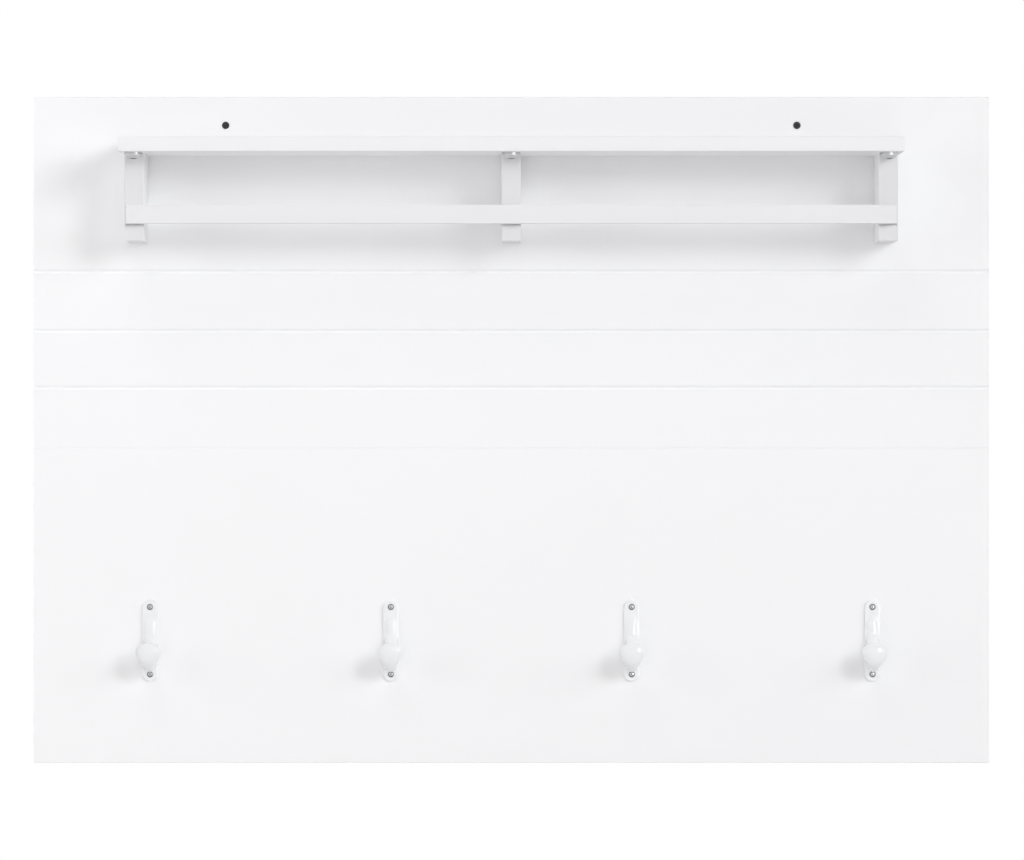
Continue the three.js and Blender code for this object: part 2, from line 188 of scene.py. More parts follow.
def floorPaper():
    # Matt studio paper: keeps the shadow near the object and runs out into the white background
    material = bpy.data.materials.new("floor_paper")
    material.use_nodes = True
    tree = material.node_tree
    tree.nodes.clear()
    fadeStart, fadeEnd = (length / perMetre for length in studio["floorFade"])
    place = addNode(tree, "TexCoord").outputs["Object"]
    distance = addNode(tree, "VectorMath", [place], operation="LENGTH").outputs["Value"]
    fade = addNode(tree, "MapRange", [distance, fadeStart, fadeEnd], interpolation_type="SMOOTHSTEP")
    amount = addNode(tree, "Math", [fade, whiteToTheEye(tree)], operation="MULTIPLY")
    paper = addNode(tree, "BsdfDiffuse", {"Color": studio["floorColour"]})
    glow = addNode(tree, "Emission", {"Color": "#FFFFFF", "Strength": studio["background"]})
    blend = addNode(tree, "MixShader", [amount, paper, glow])
    addNode(tree, "OutputMaterial", {"Surface": blend})
    return material


def addFloor():
    bm = bmesh.new()
    bmesh.ops.create_grid(bm, x_segments=1, y_segments=1, size=studio["floorWidth"] / 2 / perMetre)
    bmesh.ops.translate(bm, verts=bm.verts, vec=(0, 0, (panelFoot - studio["floorBelow"]) / perMetre))
    mesh = bpy.data.meshes.new("studio_floor")
    bm.to_mesh(mesh)
    bm.free()
    mesh.materials.append(floorPaper())
    floor = bpy.data.objects.new("studio_floor", mesh)
    bpy.context.collection.objects.link(floor)


bpy.context.scene.view_settings.view_transform = "Standard"
addCamera()
addLamps()
addBackground()
addFloor()
print("camera, lamps and background are set")

# Materials

micrometre = 1e-6          # in metres; every Height below is in micrometres
noiseSpan = (0.3, 0.7)     # nearly all of a noise's values lie between these


def perSize(*lengths):
    # Texture scale at which one wave or grain measures this many millimetres, alike or along X, Y and Z
    scales = tuple(perMetre / length for length in lengths)
    return scales if len(scales) > 1 else scales[0]


def newMaterial(name):
    material = bpy.data.materials.new(name)
    material.use_nodes = True
    tree = material.node_tree
    tree.nodes.clear()
    shader = addNode(tree, "BsdfPrincipled")
    addNode(tree, "OutputMaterial", {"Surface": shader})
    return material, tree, shader, addNode(tree, "TexCoord").outputs["Object"]


def grained(tree, place, lengths, **details):
    # Noise whose grains measure this along X, Y and Z
    scaled = addNode(tree, "Mapping", {"Vector": place, "Scale": perSize(*lengths)})
    return addNode(tree, "TexNoise", {"Vector": scaled, "Scale": 1.0, **details})


def relief(tree, place, size, height, under=None, detail=2.0):
    # Bumps this wide and this many micrometres high, on top of another relief
    grain = addNode(tree, "TexNoise", {"Vector": place, "Scale": perSize(size), "Detail": detail})
    inputs = {"Height": grain, "Distance": height * micrometre, "Strength": 1.0}
    if under is not None:
        inputs["Normal"] = under
    return addNode(tree, "Bump", inputs)


lacquerLooks = {
    "panel": ("#F8F9FA", "#FAFAFC"),
    "shelf": ("#F1F1F3", "#F4F4F6"),   # greyer copies of the panel's white, set to the tone each part shows; on the rail and the posts, under the shelf, this is partly painted shade
    "rail": ("#EAEAEC", "#EDEDEF"),
    "posts": ("#E4E4E6", "#E7E7E9"),
    "full": "#FDFDFE",     # painted light: faces turned up or aside get a whiter colour, standing in for the light that falls on them
    "paintedLightFrom": (0.5, 0.95),   # how far a face is turned where the painted light starts and where it is full
    "paintedLightRight": 0.78,    # faces turned right get less of the painted light
    "paintedFalloff": 0.035,     # painted shade: the white loses this share towards the right-hand end and gains it towards the left, a fall-off of the light drawn into the colour
    "paintedFalloffRun": 500,
    "cloud": 220,          # size of the faint drifts of tone
    "patches": 6,          # patches of gloss across one drift
    "roughness": (0.5, 0.58),
    "ior": 1.5,
    "peel": 3.2,           # waves of the orange peel, drawn twice as coarse as they are so that they show
    "peelHeight": 7,
    "grain": 0.5,
    "grainHeight": 0.8,
}


def sprayedLacquer(batch):
    # Two-pack satin lacquer, sprayed on primed fibreboard: a cool white, a soft sheen and orange peel, with
    # painted light and shade
    looks = lacquerLooks
    first, second = looks[batch]
    material, tree, shader, place = newMaterial("sprayed_lacquer_" + batch)
    facing = addNode(tree, "TexCoord").outputs["Normal"]
    turned = addNode(tree, "SeparateXYZ", [facing]).outputs
    # Painted light: faces turned up or aside are mixed towards a whiter colour, less so on faces turned
    # right
    left = addNode(tree, "Math", [turned["X"], -1.0], operation="MULTIPLY")
    right = addNode(tree, "Math", [turned["X"], looks["paintedLightRight"]], operation="MULTIPLY")
    aside = addNode(tree, "Math", [left, right], operation="MAXIMUM")
    paintedLightTurn = addNode(tree, "Math", [turned["Z"], aside], operation="MAXIMUM")
    full = addNode(tree, "MapRange", [paintedLightTurn, *looks["paintedLightFrom"]])
    cloud = addNode(tree, "TexNoise", {"Vector": place, "Scale": perSize(looks["cloud"]), "Detail": 3})
    drifts = addNode(tree, "Mix", {"Factor": cloud, "A": first, "B": second}, data_type="RGBA")
    white = addNode(tree, "Mix", {"Factor": full, "A": drifts, "B": looks["full"]}, data_type="RGBA")
    # Painted shade: the colour darkens steadily from left to right across the rack
    along = addNode(tree, "SeparateXYZ", [place]).outputs["X"]
    run = looks["paintedFalloffRun"] / perMetre
    paintedFalloffScale = addNode(tree, "MapRange", [along, -run, run, 1 + looks["paintedFalloff"], 1 - looks["paintedFalloff"]])
    withPaintedFalloff = addNode(tree, "Mix", {
        "Factor": 1.0, "A": white, "B": paintedFalloffScale}, data_type="RGBA", blend_type="MULTIPLY")
    patches = addNode(tree, "TexNoise", {
        "Vector": place, "Scale": perSize(looks["cloud"] / looks["patches"]), "Detail": 4})
    roughness = addNode(tree, "MapRange", [patches, *noiseSpan, *looks["roughness"]])
    peel = relief(tree, place, looks["peel"], looks["peelHeight"])
    grain = relief(tree, place, looks["grain"], looks["grainHeight"], peel)
    setInputs(tree, shader, {
        "Base Color": withPaintedFalloff, "Roughness": roughness, "IOR": looks["ior"], "Normal": grain})
    return material


enamelLooks = {
    "colours": ("#F1F3F4", "#F6F7F8"),
    "cloud": 14,
    "roughness": (0.11, 0.17),
    "ior": 1.5,
    "coatWeight": 0.3,
    "coatRoughness": 0.12,
    "wave": 7,             # the casting's waviness under the enamel
    "waveHeight": 16,
    "pit": 1.1,
    "pitHeight": 1.5,
}


def stoveEnamel():
    # White stove enamel over a zinc casting: a wet gloss that keeps the casting's faint waves
    looks = enamelLooks
    first, second = looks["colours"]
    material, tree, shader, place = newMaterial("stove_enamel")
    cloud = addNode(tree, "TexNoise", {"Vector": place, "Scale": perSize(looks["cloud"])})
    white = addNode(tree, "Mix", {"Factor": cloud, "A": first, "B": second}, data_type="RGBA")
    roughness = addNode(tree, "MapRange", [cloud, *noiseSpan, *looks["roughness"]])
    wave = relief(tree, place, looks["wave"], looks["waveHeight"], detail=1)
    pits = relief(tree, place, looks["pit"], looks["pitHeight"], wave)
    setInputs(tree, shader, {
        "Base Color": white, "Roughness": roughness, "IOR": looks["ior"], "Normal": pits,
        "Coat Weight": looks["coatWeight"], "Coat Roughness": looks["coatRoughness"]})
    return material


pineLooks = {
    "spring": "#E6CDA0",
    "summer": "#C9975A",
    "knot": "#8A5A33",
    "streak": "#A87747",
    "ring": 3.4,           # width of a year's growth
    "ringStops": ((0.0, 0.0), (0.45, 0.12), (0.8, 0.85), (0.9, 1.0), (0.96, 0.1)),
    "ringShare": 0.75,     # how much of the summer colour the darkest line takes
    "pith": (60, 85),      # heart of the tree from the piece's middle, along X and Y
    "drift": 9,            # how far the rings wander
    "driftRun": (70, 70, 520),
    "fibre": (0.6, 0.6, 34),
    "fibreHeight": 45,
    "streakFrom": (0.45, 0.8),
    "streakShare": 0.4,
    "knotRun": (190, 190, 260),
    "knotReach": 0.26,     # how near a knot's middle the rings bend, in knot runs
    "knotBend": 14,
    "knotFrom": (0.78, 0.92),
    "knotShare": 0.9,
    "cutter": 1.6,         # pitch of the planer's cutter marks
    "cutterHeight": 3,
    "roughness": 0.62,
    "ior": 1.45,
}


def planedPine():
    # Softwood, four-side planed and left bare: pale spring wood, darker summer lines, a knot here and there
    looks = pineLooks
    material, tree, shader, place = newMaterial("planed_pine")
    knotPlace = addNode(tree, "Mapping", {"Vector": place, "Scale": perSize(*looks["knotRun"])})
    knots = addNode(tree, "TexVoronoi", {"Vector": knotPlace, "Scale": 1.0}).outputs["Distance"]
    nearKnot = addNode(tree, "MapRange", [knots, 0.0, looks["knotReach"], 1.0, 0.0])
    wander = grained(tree, place, looks["driftRun"])
    drift = addNode(tree, "MapRange", [wander, 0.0, 1.0, -looks["drift"], looks["drift"]])
    fromPith = addNode(tree, "Mapping", {
        "Vector": place, "Location": (*looks["pith"], 0), "Scale": (perMetre, perMetre, 0)})
    distance = addNode(tree, "VectorMath", [fromPith], operation="LENGTH").outputs["Value"]
    radius = addNode(tree, "Math", [distance, drift], operation="ADD")
    bend = addNode(tree, "Math", [nearKnot, 2.0], operation="POWER")
    bent = addNode(tree, "Math", [bend, looks["knotBend"], radius], operation="MULTIPLY_ADD")
    years = addNode(tree, "Math", [bent, looks["ring"]], operation="DIVIDE")
    year = addNode(tree, "Math", [years], operation="FRACT")
    ringTone = addNode(tree, "ValToRGB", [year], looks["ringStops"])
    summer = addNode(tree, "Math", [ringTone, looks["ringShare"]], operation="MULTIPLY")
    rings = addNode(tree, "Mix", {
        "Factor": summer, "A": looks["spring"], "B": looks["summer"]}, data_type="RGBA")
    fibre = grained(tree, place, looks["fibre"], Detail=4, Roughness=0.6)
    streaks = addNode(tree, "MapRange", [fibre, *looks["streakFrom"], 0.0, looks["streakShare"]])
    streaked = addNode(tree, "Mix", {
        "Factor": streaks, "A": rings, "B": looks["streak"]}, data_type="RGBA")
    knotTone = addNode(tree, "MapRange", [nearKnot, *looks["knotFrom"], 0.0, looks["knotShare"]])
    wood = addNode(tree, "Mix", {
        "Factor": knotTone, "A": streaked, "B": looks["knot"]}, data_type="RGBA")
    up = addNode(tree, "SeparateXYZ", [place]).outputs["Z"]
    phase = addNode(tree, "Math", [up, math.tau * perSize(looks["cutter"])], operation="MULTIPLY")
    marks = addNode(tree, "Math", [phase], operation="SINE")
    planed = addNode(tree, "Bump", {
        "Height": marks, "Distance": looks["cutterHeight"] * micrometre, "Strength": 1.0})
    fibrous = addNode(tree, "Bump", {
        "Height": fibre, "Distance": looks["fibreHeight"] * micrometre, "Strength": 1.0, "Normal": planed})
    setInputs(tree, shader, {
        "Base Color": wood, "Roughness": looks["roughness"], "IOR": looks["ior"], "Normal": fibrous})
    return material


beechLooks = {
    "colours": ("#D3AE80", "#BE9260"),
    "fleck": "#9A6E42",
    "fibre": (0.5, 18, 0.5),
    "fibreHeight": 30,
    "fleckSize": (0.45, 2.6, 0.45),
    "fleckFrom": (0.62, 0.7),
    "fleckShare": 0.8,
    "roughness": 0.6,
    "ior": 1.45,
}


def turnedBeech():
    # Beech dowel, steamed and fluted by a die: pinkish tan with short dark flecks along the grain
    looks = beechLooks
    first, second = looks["colours"]
    material, tree, shader, place = newMaterial("turned_beech")
    fibre = grained(tree, place, looks["fibre"], Detail=3)
    plain = addNode(tree, "Mix", {"Factor": fibre, "A": first, "B": second}, data_type="RGBA")
    flecks = grained(tree, place, looks["fleckSize"], Detail=1)
    fleckTone = addNode(tree, "MapRange", [flecks, *looks["fleckFrom"], 0.0, looks["fleckShare"]])
    wood = addNode(tree, "Mix", {
        "Factor": fleckTone, "A": plain, "B": looks["fleck"]}, data_type="RGBA")
    fibrous = addNode(tree, "Bump", {
        "Height": fibre, "Distance": looks["fibreHeight"] * micrometre, "Strength": 1.0})
    setInputs(tree, shader, {
        "Base Color": wood, "Roughness": looks["roughness"], "IOR": looks["ior"], "Normal": fibrous})
    return material


stripLooks = {
    "colours": ("#B9BABC", "#CDCDCE"),
    "cloud": 5,
    "roll": (0.35, 22, 4),     # lines left by rolling the strip, along Y
    "rollHeight": 2.5,
    "roughness": (0.26, 0.42),
}


def platedStrip():
    # Mild steel strip, punched and bright zinc plated: cool grey metal with faint rolling lines
    looks = stripLooks
    first, second = looks["colours"]
    material, tree, shader, place = newMaterial("plated_strip")
    cloud = addNode(tree, "TexNoise", {"Vector": place, "Scale": perSize(looks["cloud"]), "Detail": 3})
    zinc = addNode(tree, "Mix", {"Factor": cloud, "A": first, "B": second}, data_type="RGBA")
    lines = grained(tree, place, looks["roll"])
    roughness = addNode(tree, "MapRange", [lines, *noiseSpan, *looks["roughness"]])
    rolled = addNode(tree, "Bump", {
        "Height": lines, "Distance": looks["rollHeight"] * micrometre, "Strength": 1.0})
    setInputs(tree, shader, {"Base Color": zinc, "Metallic": 1.0, "Roughness": roughness, "Normal": rolled})
    return material


screwFinishes = {
    # Cold headed steel, bright zinc plated: a cool grey, with a painted highlight in and round the cross
    # recess
    "plated_steel_screw": {
        "colours": ("#84888C", "#999CA0"),
        "recess": "#E9EAEC",
        "cloud": 2.1,
        "roughness": (0.24, 0.4),
        "grain": 0.7,
        "grainHeight": 2,
        "shader": {"Metallic": 1.0},
    },
    # The same steel with its crown polished: near white, with painted shade in the recess
    "plated_steel_dome": {
        "colours": ("#D2D3D4", "#DDDEDF"),
        "recess": "#55575A",
        "cloud": 2.1,
        "roughness": (0.38, 0.52),
        "grain": 0.7,
        "grainHeight": 2,
        "shader": {"Metallic": 1.0},
    },
    # Hardened steel, black phosphated and oiled: a dull crystalline brown-black, darker in the recess
    "black_phosphate": {
        "colours": ("#1B1A1A", "#33302E"),
        "recess": "#0C0B0B",
        "cloud": 2.5,
        "roughness": (0.42, 0.6),
        "grain": 0.4,
        "grainHeight": 4,
        "shader": {"IOR": 1.6},
    },
}


def screwSteel(name):
    looks = screwFinishes[name]
    first, second = looks["colours"]
    material, tree, shader, place = newMaterial(name)
    cloud = addNode(tree, "TexNoise", {"Vector": place, "Scale": perSize(looks["cloud"]), "Detail": 3})
    metal = addNode(tree, "Mix", {"Factor": cloud, "A": first, "B": second}, data_type="RGBA")
    # The recess takes its own colour from the mask: a painted highlight on the plated screws, painted shade
    # on the domes
    paintedRecessMask = addNode(tree, "Attribute", attribute_name="paintedRecessMask").outputs["Fac"]
    paintedRecess = addNode(tree, "Mix", {"Factor": paintedRecessMask, "A": metal, "B": looks["recess"]}, data_type="RGBA")
    roughness = addNode(tree, "MapRange", [cloud, *noiseSpan, *looks["roughness"]])
    grain = relief(tree, place, looks["grain"], looks["grainHeight"])
    setInputs(tree, shader, {"Base Color": paintedRecess, "Roughness": roughness, "Normal": grain, **looks["shader"]})
    return material


panelLacquer = sprayedLacquer("panel")
shelfLacquer = sprayedLacquer("shelf")
railLacquer = sprayedLacquer("rail")
postLacquer = sprayedLacquer("posts")
enamel = stoveEnamel()
pine = planedPine()
beech = turnedBeech()
strip = platedStrip()
steel = screwSteel("plated_steel_screw")
domeSteel = screwSteel("plated_steel_dome")
phosphate = screwSteel("black_phosphate")
print("materials are made")

# Shaping

overshoot = 1              # how far a cutter reaches past the piece
squareOnly = 60            # degrees between faces; leaves out edges that are rounded already
creaseAngle = 38           # edges sharper than this stay crisp in the shading


def near(a, b, within=0.02):
    return abs(a - b) < within


def upright(middle, along):
    return abs(along.z) > 0.5


def level(middle, along):
    return abs(along.z) < 0.5


def addBlock(bm, low, high):
    made = bmesh.ops.create_cube(bm, size=1)["verts"]
    bmesh.ops.scale(bm, vec=high - low, verts=made)
    bmesh.ops.translate(bm, vec=(low + high) / 2, verts=made)


def sharpEdges(bm, test=lambda middle, along: True, least=20):
    # Edges with a real corner whose middle and direction pass the test
    found = []
    for edge in bm.edges:
        if len(edge.link_faces) != 2 or edge.calc_face_angle(0) < math.radians(least):
            continue
        a, b = (vert.co for vert in edge.verts)
        if test((a + b) / 2, (b - a).normalized()):
            found.append(edge)
    return found


def roundEdges(bm, edges, width, segments=3):
    bmesh.ops.bevel(bm, geom=edges, offset=width, offset_type="OFFSET", affect="EDGES",
                    segments=segments, profile=0.5, material=-1, clamp_overlap=True)


def addLathed(bm, outline, steps):
    # Turns a half outline of (radius, height) points round Z into a closed solid
    verts = [bm.verts.new((radius, 0, height)) for radius, height in outline]
    edges = [bm.edges.new(pair) for pair in zip(verts, verts[1:])]
    bmesh.ops.spin(bm, geom=verts + edges, cent=(0, 0, 0), axis=(0, 0, 1), dvec=(0, 0, 0),
                   angle=math.tau, steps=steps, use_merge=True)
    bmesh.ops.remove_doubles(bm, verts=bm.verts, dist=1e-4)
    bmesh.ops.recalc_face_normals(bm, faces=bm.faces)


def aimed(at, toward):
    # Puts a shape drawn along +Z at a point, along a direction
    return Matrix.Translation(at) @ axisZ.rotation_difference(toward).to_matrix().to_4x4()


def objectOf(bm, name):
    mesh = bpy.data.meshes.new(name)
    bm.to_mesh(mesh)
    made = bpy.data.objects.new(name, mesh)
    bpy.context.collection.objects.link(made)
    return made


def applied(bm, kind, settings, helpers=()):
    # Runs one modifier on a bmesh and puts the result back in it
    host = objectOf(bm, "host")
    modifier = host.modifiers.new("shape", kind)
    for name, value in settings.items():
        setattr(modifier, name, value)
    graph = bpy.context.evaluated_depsgraph_get()
    result = bpy.data.meshes.new_from_object(host.evaluated_get(graph))
    bm.clear()
    bm.from_mesh(result)
    bpy.data.meshes.remove(result)
    for used in (host, *helpers):
        data = used.data
        bpy.data.objects.remove(used)
        bpy.data.meshes.remove(data)


def carve(bm, cutter, operation="DIFFERENCE"):
    tool = objectOf(cutter, "tool")
    applied(bm, "BOOLEAN", {"object": tool, "operation": operation, "solver": "EXACT"}, [tool])
    cutter.free()


def finishPiece(bm, node, material):
    bmesh.ops.scale(bm, vec=(1 / perMetre,) * 3, verts=bm.verts)
    for face in bm.faces:
        face.smooth = True
    mesh = bpy.data.meshes.new(node + "_finished")
    bm.to_mesh(mesh)
    bm.free()
    mesh.set_sharp_from_angle(angle=math.radians(creaseAngle))
    mesh.materials.append(material)
    piece = bpy.data.objects.new(node + "_finished", mesh)
    bpy.context.collection.objects.link(piece)
    weighted = piece.modifiers.new("weighted_normals", "WEIGHTED_NORMAL")
    weighted.keep_sharp = True
    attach(piece, "root")
    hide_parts(node)


# Fasteners: the direction in which each kind is driven. Head width and length come from the frame.
screwKinds = {
    "wall": {"toward": axisY, "shank": 5, "pitch": 2.4, "plain": 14, "recess": 4.6},
    "batten": {"toward": -axisY, "shank": 3.5, "pitch": 1.6, "plain": 0, "recess": 3.8},
    "post": {"toward": -axisY, "shank": 4, "pitch": 1.8, "plain": 10, "recess": 4.2},
    "shelf": {"toward": -axisY, "shank": 4, "pitch": 1.8, "plain": 12, "recess": 4.2},
    "plate": {"toward": -axisZ, "shank": 3, "pitch": 1.35, "plain": 0, "recess": 3.0},
    "tongue": {"toward": axisZ, "shank": 4, "pitch": 1.8, "plain": 0, "recess": 8, "wing": 1.6, "crown": 5,
               "full": True},
    "hook": {"toward": axisY, "shank": 3.5, "pitch": 1.6, "plain": 0, "recess": 3.4, "crown": 0.9},
}

screwLooks = {
    "steps": 40,
    "rim": 0.3,            # straight rim of a countersunk head
    "headEase": (0.15, 0.12),   # bevel of a flat head's edge, across and down
    "crownSteps": 8,
    "domeSteps": 12,
    "domeRim": 0.12,       # straight rim of a full dome
    "seatEase": 0.1,       # its seat's edge, and its fillet to the shank
    "fillet": 0.3,
    "plainShare": 0.76,    # plain shank and core against the thread's width
    "coreShare": 0.62,
    "coreRun": 0.6,        # length over which the plain shank narrows to the core
    "point": (0.12, 0.1),  # radius of the point and length over which it closes
    "threadSteps": 20,     # in a turn
    "threadSpare": 1.0,    # length without a thread, both ends together
    "threadFoot": 0.32,    # half the width of its foot, in pitches
    "threadSunk": 0.15,    # how deep the foot lies in the core
    "threadLeast": 0.08,   # what is left of it at the point
    "wing": 0.95,          # width of a wing of the cross recess at the top
    "recessDepth": 1.7,
    "crownDepth": 0.35,    # share of a crown's height that the recess is deeper
    "recessTaper": (0.42, 0.7),   # the recess's foot against its mouth, along and across a wing
    "recessEase": 0.2,
    "paintedRecessTo": 1.15,      # the painted tone of the recess ends here, in half widths of the recess, and fades before it
    "paintedRecessFade": 0.3,
    "gap": 0.3,            # clearance of the holes, on the radius
    "boreRun": 1.5,
}

dowelLooks = {"flutes": 18, "points": 4, "fluteDepth": 0.22, "ease": 0.7, "gap": 0.2}


def fastenerPlaces():
    places = {}
    for name in nodesNamed(""):
        kind = name.split("_screw_")[0]
        low, high = cornersOf(name)
        middle = (low + high) / 2
        if "_screw_" in name:
            sizes = screwKinds[kind]
            toward = sizes["toward"]
            crown = sizes.get("crown", 0)
            reach = abs((high - low).dot(toward))
            sideways = [axis for axis in (axisX, axisY, axisZ) if not axis.dot(toward)]
            across = max(abs((high - low).dot(axis)) for axis in sideways)
            at = middle - toward * (reach / 2 - crown)
            places[name] = {"kind": kind, "at": at, "toward": toward, "head": across,
                            "length": reach - crown, "low": low, "high": high}
        elif name.startswith("rail_dowel_"):
            reach = high.y - low.y
            places[name] = {"kind": "dowel", "at": middle - axisY * reach / 2, "toward": axisY,
                            "head": high.z - low.z, "length": reach, "low": low, "high": high}
    return places


fasteners = fastenerPlaces()


def holeOutline(fastener):
    length = fastener["length"]
    if fastener["kind"] == "dowel":
        bore = fastener["head"] / 2 + dowelLooks["gap"]
        ends = dowelLooks["gap"]
        return [(0, -ends), (bore, -ends), (bore, length + ends), (0, length + ends)]
    sizes = screwKinds[fastener["kind"]]
    bore = sizes["shank"] / 2 + screwLooks["gap"]
    mouth = bore if sizes.get("full") else fastener["head"] / 2 + screwLooks["gap"]
    rim = screwLooks["rim"]
    depth = length + screwLooks["boreRun"]
    return [(0, -overshoot), (mouth, -overshoot), (mouth, rim), (bore, rim + mouth - bore), (bore, depth),
            (0, depth)]


def drill(bm, node):
    # A hole for each fastener that reaches into the node's box
    low, high = cornersOf(node)
    holes = bmesh.new()
    for fastener in fasteners.values():
        if all(fastener["low"][i] < high[i] and low[i] < fastener["high"][i] for i in range(3)):
            hole = bmesh.new()
            addLathed(hole, holeOutline(fastener), screwLooks["steps"])
            hole.transform(aimed(fastener["at"], fastener["toward"]))
            mesh = bpy.data.meshes.new("hole")
            hole.to_mesh(mesh)
            hole.free()
            holes.from_mesh(mesh)
            bpy.data.meshes.remove(mesh)
    carve(bm, holes)


def screwOutline(sizes, head, length):
    looks = screwLooks
    crown = sizes.get("crown", 0)
    radius = head / 2
    plain = looks["plainShare"] * sizes["shank"] / 2
    core = looks["coreShare"] * sizes["shank"] / 2
    neck = [(radius, looks["rim"]), (plain, looks["rim"] + radius - plain)]
    if sizes.get("full"):
        turns = [math.pi * i / (2 * looks["domeSteps"]) for i in range(looks["domeSteps"])]
        top = [(radius * math.sin(turn), -crown * math.cos(turn)) for turn in turns]
        top.append((radius, -looks["domeRim"]))
        fillet = looks["fillet"]
        neck = [(radius - looks["seatEase"], 0.0), (plain + fillet, 0.0), (plain, fillet)]
    elif crown:
        sphere = (crown ** 2 + radius ** 2) / (2 * crown)
        half = math.asin(radius / sphere)
        turns = [half * i / looks["crownSteps"] for i in range(looks["crownSteps"] + 1)]
        top = [(sphere * math.sin(turn), sphere - crown - sphere * math.cos(turn)) for turn in turns]
    else:
        across, down = looks["headEase"]
        top = [(0, 0), (radius - across, 0), (radius, down)]
    start = max(sizes["plain"], neck[-1][1])
    shaft = [(plain, start)] if sizes["plain"] else []
    pointRadius, pointRun = looks["point"]
    end = [(core, start + looks["coreRun"]), (core, length - sizes["shank"]),
           (pointRadius, length - pointRun), (0, length)]
    return top + neck + shaft + end, start


def threadRidge(sizes, length, start):
    # One triangle spun down the shank; it dies away at both ends
    looks = screwLooks
    outer = sizes["shank"] / 2
    sunk = looks["coreShare"] * outer - looks["threadSunk"]
    pitch = sizes["pitch"]
    foot = looks["threadFoot"] * pitch
    turns = (length - start - looks["threadSpare"] - foot) / pitch
    steps = int(turns * looks["threadSteps"])
    bm = bmesh.new()
    first = start + looks["coreRun"]
    corners = [(sunk, 0, first - foot), (outer, 0, first), (sunk, 0, first + foot)]
    face = bm.faces.new([bm.verts.new(corner) for corner in corners])
    bmesh.ops.spin(bm, geom=[face, *face.edges, *face.verts], cent=(0, 0, 0), axis=(0, 0, 1),
                   dvec=(0, 0, pitch / looks["threadSteps"]), angle=math.tau * steps / looks["threadSteps"],
                   steps=steps, use_duplicate=False)
    for vert in bm.verts:
        left = min(1.0, max(looks["threadLeast"], (length - vert.co.z) / sizes["shank"]))
        grown = min(1.0, (vert.co.z - first + 2 * foot) / pitch)
        outward = math.hypot(vert.co.x, vert.co.y)
        share = min(outward, sunk + (outward - sunk) * grown) * left / outward
        vert.co.x *= share
        vert.co.y *= share
    closeHoles(bm)
    return bm


def closeHoles(bm):
    open_ = [edge for edge in bm.edges if len(edge.link_faces) == 1]
    if open_:
        bmesh.ops.holes_fill(bm, edges=open_, sides=0)
    bmesh.ops.recalc_face_normals(bm, faces=bm.faces)


def recessWing(sizes, turn):
    looks = screwLooks
    crown = sizes.get("crown", 0)
    depth = looks["recessDepth"] + looks["crownDepth"] * crown
    bm = bmesh.new()
    half = Vector((sizes["recess"] / 2, sizes.get("wing", looks["wing"]) / 2, 0))
    addBlock(bm, Vector((-half.x, -half.y, -depth)), Vector((half.x, half.y, depth)))
    foot = [vert for vert in bm.verts if vert.co.z > 0]
    bmesh.ops.scale(bm, vec=(*looks["recessTaper"], 1), verts=foot)
    roundEdges(bm, sharpEdges(bm, upright), looks["recessEase"], 2)
    bmesh.ops.translate(bm, vec=(0, 0, -crown), verts=bm.verts)
    bmesh.ops.rotate(bm, cent=(0, 0, 0), matrix=Matrix.Rotation(turn, 3, "Z"), verts=bm.verts)
    return bm


def screwSolid(kind, head, length):
    looks = screwLooks
    sizes = screwKinds[kind]
    bm = bmesh.new()
    outline, start = screwOutline(sizes, head, length)
    addLathed(bm, outline, looks["steps"])
    carve(bm, threadRidge(sizes, length, start), "UNION")
    for turn in (math.pi / 4, 3 * math.pi / 4):
        carve(bm, recessWing(sizes, turn))
    # Mask for the recess's painted tone
    paintedRecessMask = bm.verts.layers.float.new("paintedRecessMask")
    crown = sizes.get("crown", 0)
    for vert in bm.verts:
        outward = math.hypot(vert.co.x, vert.co.y) / (sizes["recess"] / 2)
        share = min(max((looks["paintedRecessTo"] - outward) / looks["paintedRecessFade"], 0), 1)
        vert[paintedRecessMask] = share if vert.co.z < looks["recessDepth"] - crown else 0
    return bm


def addScrews():
    solids = {}
    for name, screw in fasteners.items():
        if screw["kind"] == "dowel":
            continue
        key = (screw["kind"], round(screw["length"], 2))
        if key not in solids:
            solids[key] = objectOf(screwSolid(screw["kind"], screw["head"], screw["length"]), "screw")
        bm = bmesh.new()
        bm.from_mesh(solids[key].data)
        bm.transform(aimed(screw["at"], screw["toward"]))
        material = {"wall": phosphate, "tongue": domeSteel}.get(screw["kind"], steel)
        finishPiece(bm, name, material)
    for solid in solids.values():
        bpy.data.objects.remove(solid)
    print("screws:", len(fasteners) - len(nodesNamed("rail_dowel_")), "from", len(solids), "solids")


def addDowels():
    looks = dowelLooks
    for name, dowel in fasteners.items():
        if dowel["kind"] != "dowel":
            continue
        radius = dowel["head"] / 2
        bm = bmesh.new()
        segments = looks["flutes"] * looks["points"]
        rim = bmesh.ops.create_circle(bm, cap_ends=True, radius=radius, segments=segments)["verts"]
        valleys = rim[::looks["points"]]
        share = 1 - looks["fluteDepth"] / radius
        bmesh.ops.scale(bm, vec=(share, share, 1), verts=valleys)
        side = bmesh.ops.extrude_face_region(bm, geom=list(bm.faces), use_keep_orig=True)["geom"]
        top = [item for item in side if isinstance(item, bmesh.types.BMVert)]
        bmesh.ops.translate(bm, vec=(0, 0, dowel["length"]), verts=top)
        bmesh.ops.recalc_face_normals(bm, faces=bm.faces)
        roundEdges(bm, sharpEdges(bm, level, squareOnly), looks["ease"], 2)
        bm.transform(aimed(dowel["at"], dowel["toward"]))
        finishPiece(bm, name, beech)
    print("dowels:", len(nodesNamed("rail_dowel_")))


# Panel and battens

panelLooks = {
    "grooves": (182.6, 244.8, 304.2),   # middles, below the panel's top edge
    "grooveWidth": 4.6,
    "grooveDepth": 2,
    "grooveEase": 0.3,
    "clear": 5,            # the grooves lie further than this from a board's edges
    "edgeEase": 0.8,       # top and bottom front edges
    "endEase": 0.6,
    "backEase": 0.4,
    "seamEases": (0.25, 1.3),   # lower edge of the upper board, upper edge of the lower board
    "seamDraw": 0.22,      # how far the upper board is drawn down on the lower one
}


